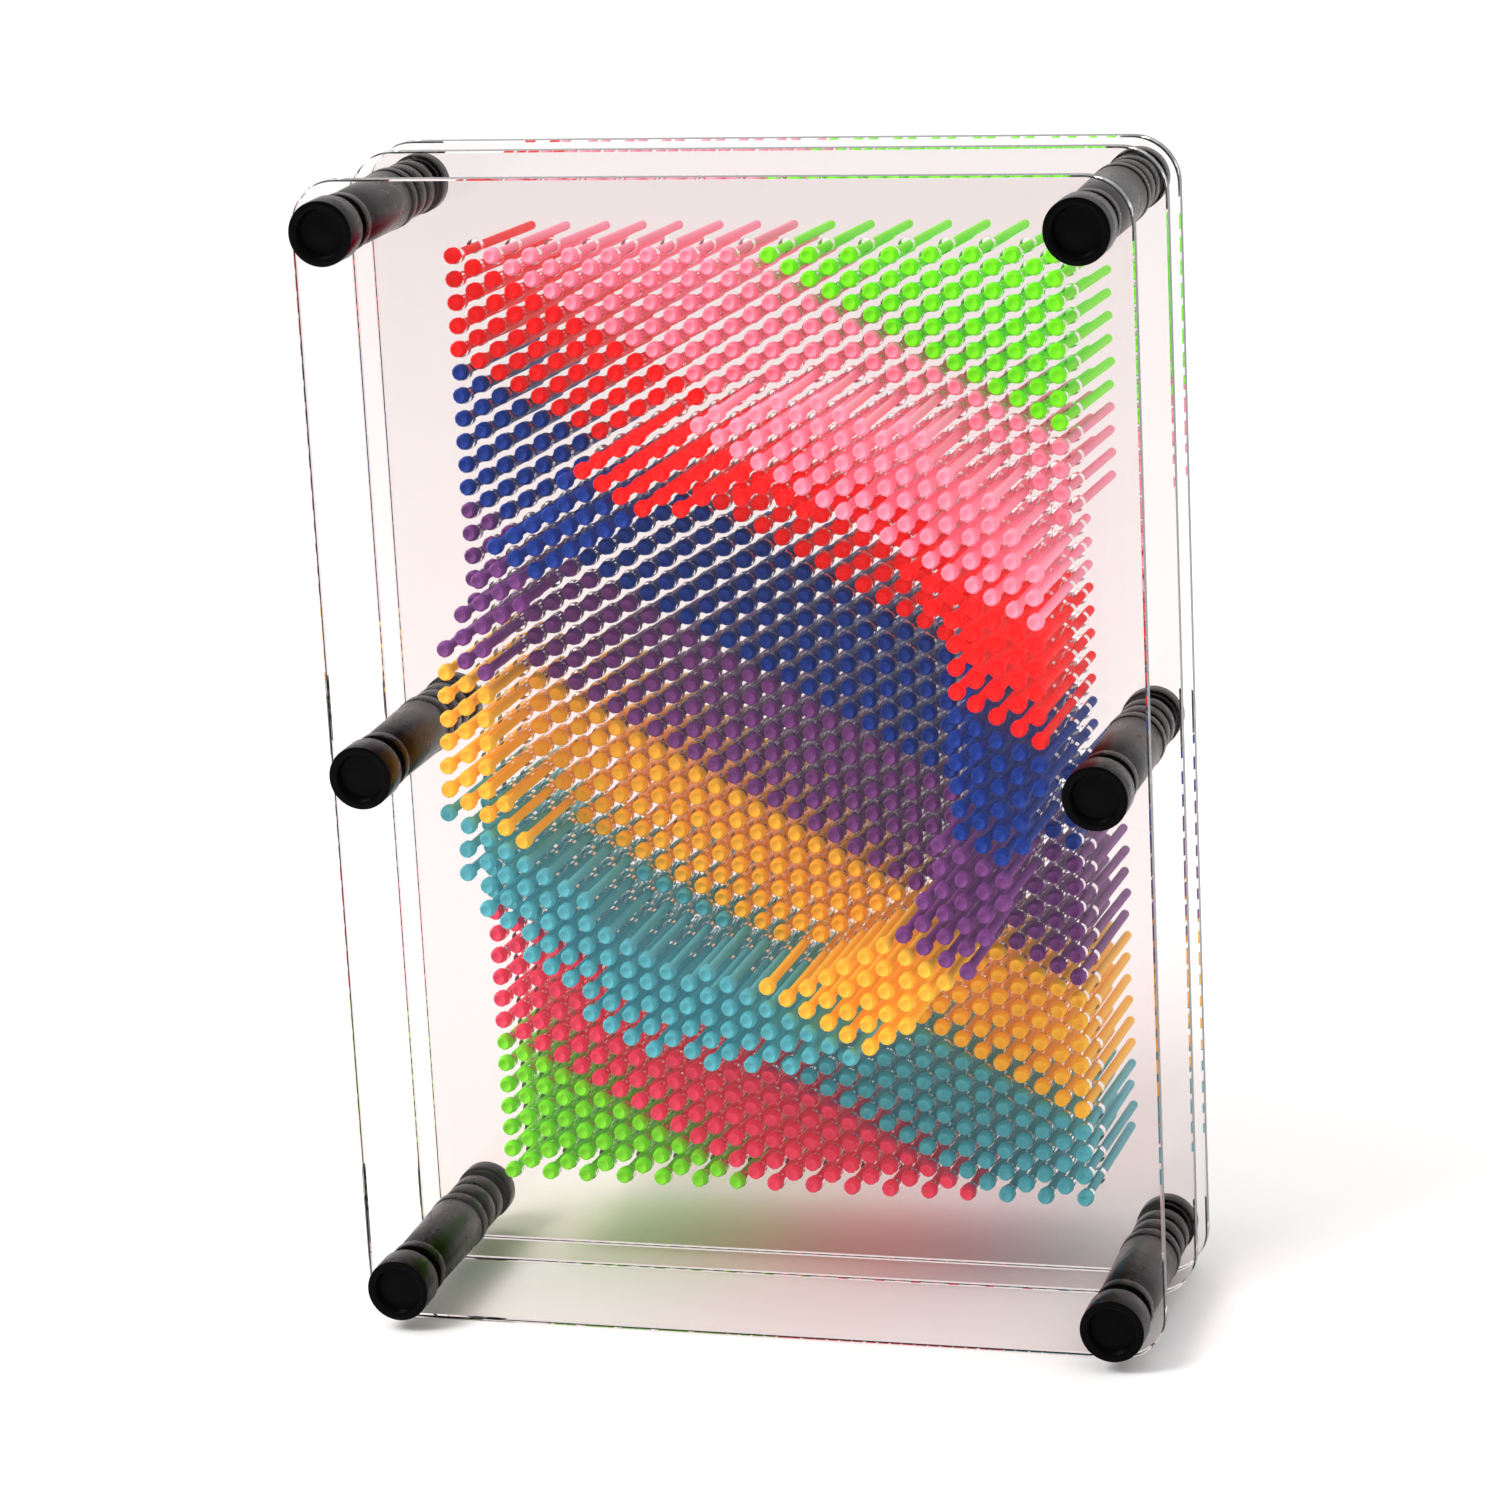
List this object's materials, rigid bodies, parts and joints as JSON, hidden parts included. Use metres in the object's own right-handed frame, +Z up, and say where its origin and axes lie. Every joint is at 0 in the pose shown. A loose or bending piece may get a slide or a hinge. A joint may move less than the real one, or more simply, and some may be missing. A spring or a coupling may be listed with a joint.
{
  "type": "pin art impression toy",
  "caption": "Upright desk toy of coloured pins that slide through clear guide plates behind a clear cover and hold the shape of what is pressed into them.",
  "frame": {"origin": "under the middle of the whole toy, at the height of the plates' bottom edges", "axes": "+Z up along the plates' long side, -Y towards the cover plate, +X to the right seen from the front"},
  "size_m": [0.141, 0.0792, 0.2],
  "materials": {
    "clear_acrylic": "clear cast acrylic, polished faces and edges",
    "black_plastic": "moulded, satin gloss with fine turning marks",
    "green_plastic": "moulded, smooth",
    "crimson_plastic": "moulded, smooth",
    "teal_plastic": "moulded, smooth",
    "orange_plastic": "moulded, smooth",
    "purple_plastic": "moulded, smooth",
    "blue_plastic": "moulded, smooth",
    "red_plastic": "moulded, smooth",
    "pink_plastic": "moulded, smooth",
    "lime_plastic": "moulded, smooth"
  },
  "bodies": {
    "frame": {"cover_plate": "clear_acrylic", "front_guide_plate": "clear_acrylic", "rear_guide_plate": "clear_acrylic", "front_cap_top_left": "black_plastic", "front_cap_top_right": "black_plastic", "front_cap_middle_left": "black_plastic", "front_cap_middle_right": "black_plastic", "front_cap_bottom_left": "black_plastic", "front_cap_bottom_right": "black_plastic", "long_spacer_top_left": "black_plastic", "long_spacer_top_right": "black_plastic", "long_spacer_middle_left": "black_plastic", "long_spacer_middle_right": "black_plastic", "long_spacer_bottom_left": "black_plastic", "long_spacer_bottom_right": "black_plastic", "short_spacer_top_left": "black_plastic", "short_spacer_top_right": "black_plastic", "short_spacer_middle_left": "black_plastic", "short_spacer_middle_right": "black_plastic", "short_spacer_bottom_left": "black_plastic", "short_spacer_bottom_right": "black_plastic", "rear_cap_top_left": "black_plastic", "rear_cap_top_right": "black_plastic", "rear_cap_middle_left": "black_plastic", "rear_cap_middle_right": "black_plastic", "rear_cap_bottom_left": "black_plastic", "rear_cap_bottom_right": "black_plastic"},
    "green_flat_pins_left": {"green_flat_pins_left": "green_plastic"},
    "crimson_flat_pins_left": {"crimson_flat_pins_left": "crimson_plastic"},
    "teal_flat_pins_left": {"teal_flat_pins_left": "teal_plastic"},
    "teal_raised_pins_left": {"teal_raised_pins_left": "teal_plastic"},
    "orange_raised_pins_left": {"orange_raised_pins_left": "orange_plastic"},
    "purple_raised_pins_left": {"purple_raised_pins_left": "purple_plastic"},
    "purple_flat_pins_left": {"purple_flat_pins_left": "purple_plastic"},
    "blue_flat_pins_left": {"blue_flat_pins_left": "blue_plastic"},
    "red_flat_pins_left": {"red_flat_pins_left": "red_plastic"},
    "pink_flat_pins_middle": {"pink_flat_pins_middle": "pink_plastic"},
    "orange_flat_pins_middle": {"orange_flat_pins_middle": "orange_plastic"},
    "purple_flat_pins_middle": {"purple_flat_pins_middle": "purple_plastic"},
    "blue_raised_pins_left": {"blue_raised_pins_left": "blue_plastic"},
    "blue_flat_pins_middle": {"blue_flat_pins_middle": "blue_plastic"},
    "teal_flat_pins_middle": {"teal_flat_pins_middle": "teal_plastic"},
    "red_raised_pins_middle": {"red_raised_pins_middle": "red_plastic"},
    "teal_flat_pins_right": {"teal_flat_pins_right": "teal_plastic"},
    "red_flat_pins_middle": {"red_flat_pins_middle": "red_plastic"},
    "pink_raised_pins_right": {"pink_raised_pins_right": "pink_plastic"},
    "orange_raised_pins_right": {"orange_raised_pins_right": "orange_plastic"},
    "lime_flat_pins_right": {"lime_flat_pins_right": "lime_plastic"},
    "orange_flat_pins_right": {"orange_flat_pins_right": "orange_plastic"},
    "purple_raised_pins_right": {"purple_raised_pins_right": "purple_plastic"},
    "red_raised_pins_right": {"red_raised_pins_right": "red_plastic"},
    "blue_raised_pins_right": {"blue_raised_pins_right": "blue_plastic"},
    "purple_flat_pins_right": {"purple_flat_pins_right": "purple_plastic"},
    "blue_flat_pins_right": {"blue_flat_pins_right": "blue_plastic"},
    "green_pin_1": {"green_pin_1": "green_plastic"},
    "green_pin_2": {"green_pin_2": "green_plastic"},
    "green_pin_3": {"green_pin_3": "green_plastic"},
    "green_pin_4": {"green_pin_4": "green_plastic"},
    "lime_pin_1": {"lime_pin_1": "lime_plastic"}
  },
  "joints": [
    {"name": "green_flat_pins_left_slide", "type": "slide", "parent": "frame", "child": "green_flat_pins_left", "axis": [0, -0.9986, 0.0523], "range_m": [0, 0.0232]},
    {"name": "crimson_flat_pins_left_slide", "type": "slide", "parent": "frame", "child": "crimson_flat_pins_left", "axis": [0, -0.9986, 0.0523], "range_m": [0, 0.0232]},
    {"name": "teal_flat_pins_left_slide", "type": "slide", "parent": "frame", "child": "teal_flat_pins_left", "axis": [0, -0.9986, 0.0523], "range_m": [0, 0.0232]},
    {"name": "teal_raised_pins_left_slide", "type": "slide", "parent": "frame", "child": "teal_raised_pins_left", "axis": [0, -0.9998, 0.0175], "range_m": [-0.02054, 0]},
    {"name": "orange_raised_pins_left_slide", "type": "slide", "parent": "frame", "child": "orange_raised_pins_left", "axis": [0, -0.9998, 0.0175], "range_m": [-0.01749, 0.00104]},
    {"name": "purple_raised_pins_left_slide", "type": "slide", "parent": "frame", "child": "purple_raised_pins_left", "axis": [0, -0.9998, 0.0175], "range_m": [-0.01705, 0.00576]},
    {"name": "purple_flat_pins_left_slide", "type": "slide", "parent": "frame", "child": "purple_flat_pins_left", "axis": [0, -0.9986, 0.0523], "range_m": [0, 0.0232]},
    {"name": "blue_flat_pins_left_slide", "type": "slide", "parent": "frame", "child": "blue_flat_pins_left", "axis": [0, -0.9986, 0.0523], "range_m": [0, 0.0232]},
    {"name": "red_flat_pins_left_slide", "type": "slide", "parent": "frame", "child": "red_flat_pins_left", "axis": [0, -0.9986, 0.0523], "range_m": [0, 0.0232]},
    {"name": "pink_flat_pins_middle_slide", "type": "slide", "parent": "frame", "child": "pink_flat_pins_middle", "axis": [0, -0.9986, 0.0523], "range_m": [0, 0.0232]},
    {"name": "orange_flat_pins_middle_slide", "type": "slide", "parent": "frame", "child": "orange_flat_pins_middle", "axis": [0, -0.9986, 0.0523], "range_m": [0, 0.0232]},
    {"name": "purple_flat_pins_middle_slide", "type": "slide", "parent": "frame", "child": "purple_flat_pins_middle", "axis": [0, -0.9986, 0.0523], "range_m": [0, 0.0232]},
    {"name": "blue_raised_pins_left_slide", "type": "slide", "parent": "frame", "child": "blue_raised_pins_left", "axis": [0, -0.9998, 0.0175], "range_m": [-0.01772, 0.00036]},
    {"name": "blue_flat_pins_middle_slide", "type": "slide", "parent": "frame", "child": "blue_flat_pins_middle", "axis": [0, -0.9986, 0.0523], "range_m": [0, 0.0232]},
    {"name": "teal_flat_pins_middle_slide", "type": "slide", "parent": "frame", "child": "teal_flat_pins_middle", "axis": [0, -0.9986, 0.0523], "range_m": [0, 0.0232]},
    {"name": "red_raised_pins_middle_slide", "type": "slide", "parent": "frame", "child": "red_raised_pins_middle", "axis": [0, -0.9998, 0.0175], "range_m": [-0.02196, 0]},
    {"name": "teal_flat_pins_right_slide", "type": "slide", "parent": "frame", "child": "teal_flat_pins_right", "axis": [0, -0.9986, 0.0523], "range_m": [0, 0.0232]},
    {"name": "red_flat_pins_middle_slide", "type": "slide", "parent": "frame", "child": "red_flat_pins_middle", "axis": [0, -0.9986, 0.0523], "range_m": [0, 0.0232]},
    {"name": "pink_raised_pins_right_slide", "type": "slide", "parent": "frame", "child": "pink_raised_pins_right", "axis": [0, -0.9998, 0.0175], "range_m": [-0.0232, 0]},
    {"name": "orange_raised_pins_right_slide", "type": "slide", "parent": "frame", "child": "orange_raised_pins_right", "axis": [0, -0.9998, 0.0175], "range_m": [-0.0232, 0]},
    {"name": "lime_flat_pins_right_slide", "type": "slide", "parent": "frame", "child": "lime_flat_pins_right", "axis": [0, -0.9986, 0.0523], "range_m": [0, 0.0232]},
    {"name": "orange_flat_pins_right_slide", "type": "slide", "parent": "frame", "child": "orange_flat_pins_right", "axis": [0, -0.9986, 0.0523], "range_m": [0, 0.0232]},
    {"name": "purple_raised_pins_right_slide", "type": "slide", "parent": "frame", "child": "purple_raised_pins_right", "axis": [0, -0.9998, 0.0175], "range_m": [-0.0232, 0]},
    {"name": "red_raised_pins_right_slide", "type": "slide", "parent": "frame", "child": "red_raised_pins_right", "axis": [0, -0.9998, 0.0175], "range_m": [-0.0232, 0]},
    {"name": "blue_raised_pins_right_slide", "type": "slide", "parent": "frame", "child": "blue_raised_pins_right", "axis": [0, -0.9998, 0.0175], "range_m": [-0.0232, 0]},
    {"name": "purple_flat_pins_right_slide", "type": "slide", "parent": "frame", "child": "purple_flat_pins_right", "axis": [0, -0.9986, 0.0523], "range_m": [0, 0.0232]},
    {"name": "blue_flat_pins_right_slide", "type": "slide", "parent": "frame", "child": "blue_flat_pins_right", "axis": [0, -0.9986, 0.0523], "range_m": [0, 0.0232]},
    {"name": "green_pin_1_slide", "type": "slide", "parent": "frame", "child": "green_pin_1", "axis": [0, -0.9986, 0.0523], "range_m": [0, 0.0232]},
    {"name": "green_pin_2_slide", "type": "slide", "parent": "frame", "child": "green_pin_2", "axis": [0, -0.9986, 0.0523], "range_m": [0, 0.0232]},
    {"name": "green_pin_3_slide", "type": "slide", "parent": "frame", "child": "green_pin_3", "axis": [0, -0.9986, 0.0523], "range_m": [0, 0.0232]},
    {"name": "green_pin_4_slide", "type": "slide", "parent": "frame", "child": "green_pin_4", "axis": [0, -0.9986, 0.0523], "range_m": [0, 0.0232]},
    {"name": "lime_pin_1_slide", "type": "slide", "parent": "frame", "child": "lime_pin_1", "axis": [0, -0.9986, 0.0523], "range_m": [0, 0.0232]}
  ]
}
